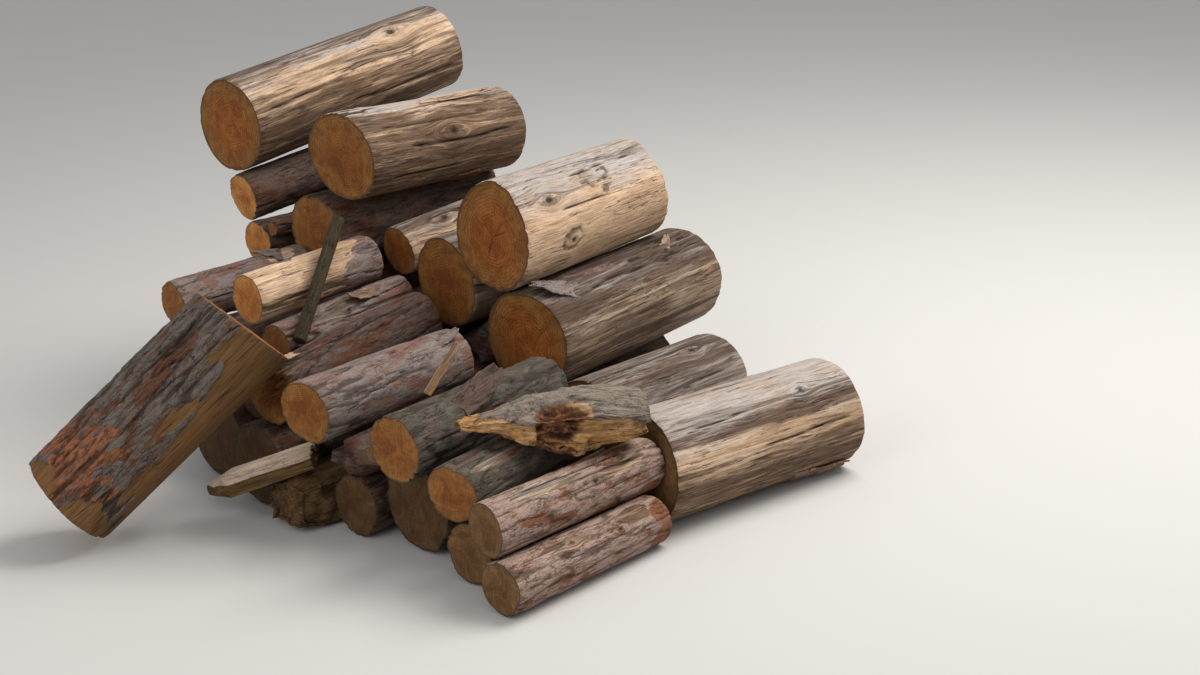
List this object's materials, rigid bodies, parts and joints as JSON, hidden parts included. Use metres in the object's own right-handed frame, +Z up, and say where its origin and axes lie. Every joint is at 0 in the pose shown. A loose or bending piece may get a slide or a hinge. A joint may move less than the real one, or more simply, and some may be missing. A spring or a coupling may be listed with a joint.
{
  "type": "stack of logs",
  "caption": "Heap of short sawn logs in two rows, with big debarked logs on top and behind, thin barked logs in front, a thick log leaning on them and split rotten wood between.",
  "frame": {"origin": "centre of the heap's box, on the ground", "axes": "+Z up, +Y along the logs away from the front row's sawn ends, +X to the right along the rows"},
  "size_m": [1.5568, 1.477, 0.8476],
  "materials": {
    "debarked_wood": "weathered, bark peeled off, fine drying cracks",
    "grey_wood": "grey weathered, partly barked",
    "pine_bark": "rough plated bark with red-orange patches",
    "rosy_bark": "thin pinkish-grey bark",
    "lichen_bark": "grey-green bark with lichen",
    "rotten_wood": "split and rotten, golden brown to dark red-brown",
    "green_stick": "green-grey stick",
    "split_wood": "fresh split wood, orange",
    "dim_wood": "sawn round wood, brown bark"
  },
  "bodies": {
    "root": {"bark_log": "pine_bark", "big_grey_log": "grey_wood", "big_pale_log": "debarked_wood", "broken_rotten_log": "rotten_wood", "chewed_end_log": "rosy_bark", "dim_ground_log": "dim_wood", "front_hidden_ground_log_1": "dim_wood", "front_hidden_ground_log_2": "dim_wood", "front_hidden_second_log_1": "dim_wood", "front_hidden_second_log_2": "dim_wood", "front_hidden_second_log_3": "dim_wood", "front_hidden_second_log_4": "dim_wood", "ground_log": "debarked_wood", "knotty_log": "debarked_wood", "leaning_bark_log": "pine_bark", "left_dim_log": "dim_wood", "lichen_log": "lichen_bark", "low_grey_log": "grey_wood", "lower_front_log": "rosy_bark", "lower_prop_log": "dim_wood", "middle_log": "grey_wood", "orange_log": "dim_wood", "pink_log": "rosy_bark", "prop_wedge_log": "dim_wood", "rear_hidden_ground_log_1": "dim_wood", "rear_hidden_ground_log_2": "dim_wood", "rear_hidden_ground_log_3": "dim_wood", "rear_hidden_ground_log_4": "dim_wood", "rear_hidden_ground_log_5": "dim_wood", "rear_hidden_second_log_1": "dim_wood", "rear_hidden_second_log_2": "dim_wood", "rear_hidden_second_log_3": "dim_wood", "rear_hidden_second_log_4": "dim_wood", "rosy_log": "rosy_bark", "rotten_split": "rotten_wood", "second_ground_log": "dim_wood", "second_log": "debarked_wood", "slim_log": "lichen_bark", "split_slab": "rotten_wood", "stake": "green_stick", "thin_splinter": "split_wood", "top_log": "debarked_wood", "torn_bark_log": "pine_bark", "upper_front_log": "rosy_bark", "upper_prop_log": "dim_wood", "wide_dim_log": "dim_wood"}
  },
  "joints": []
}
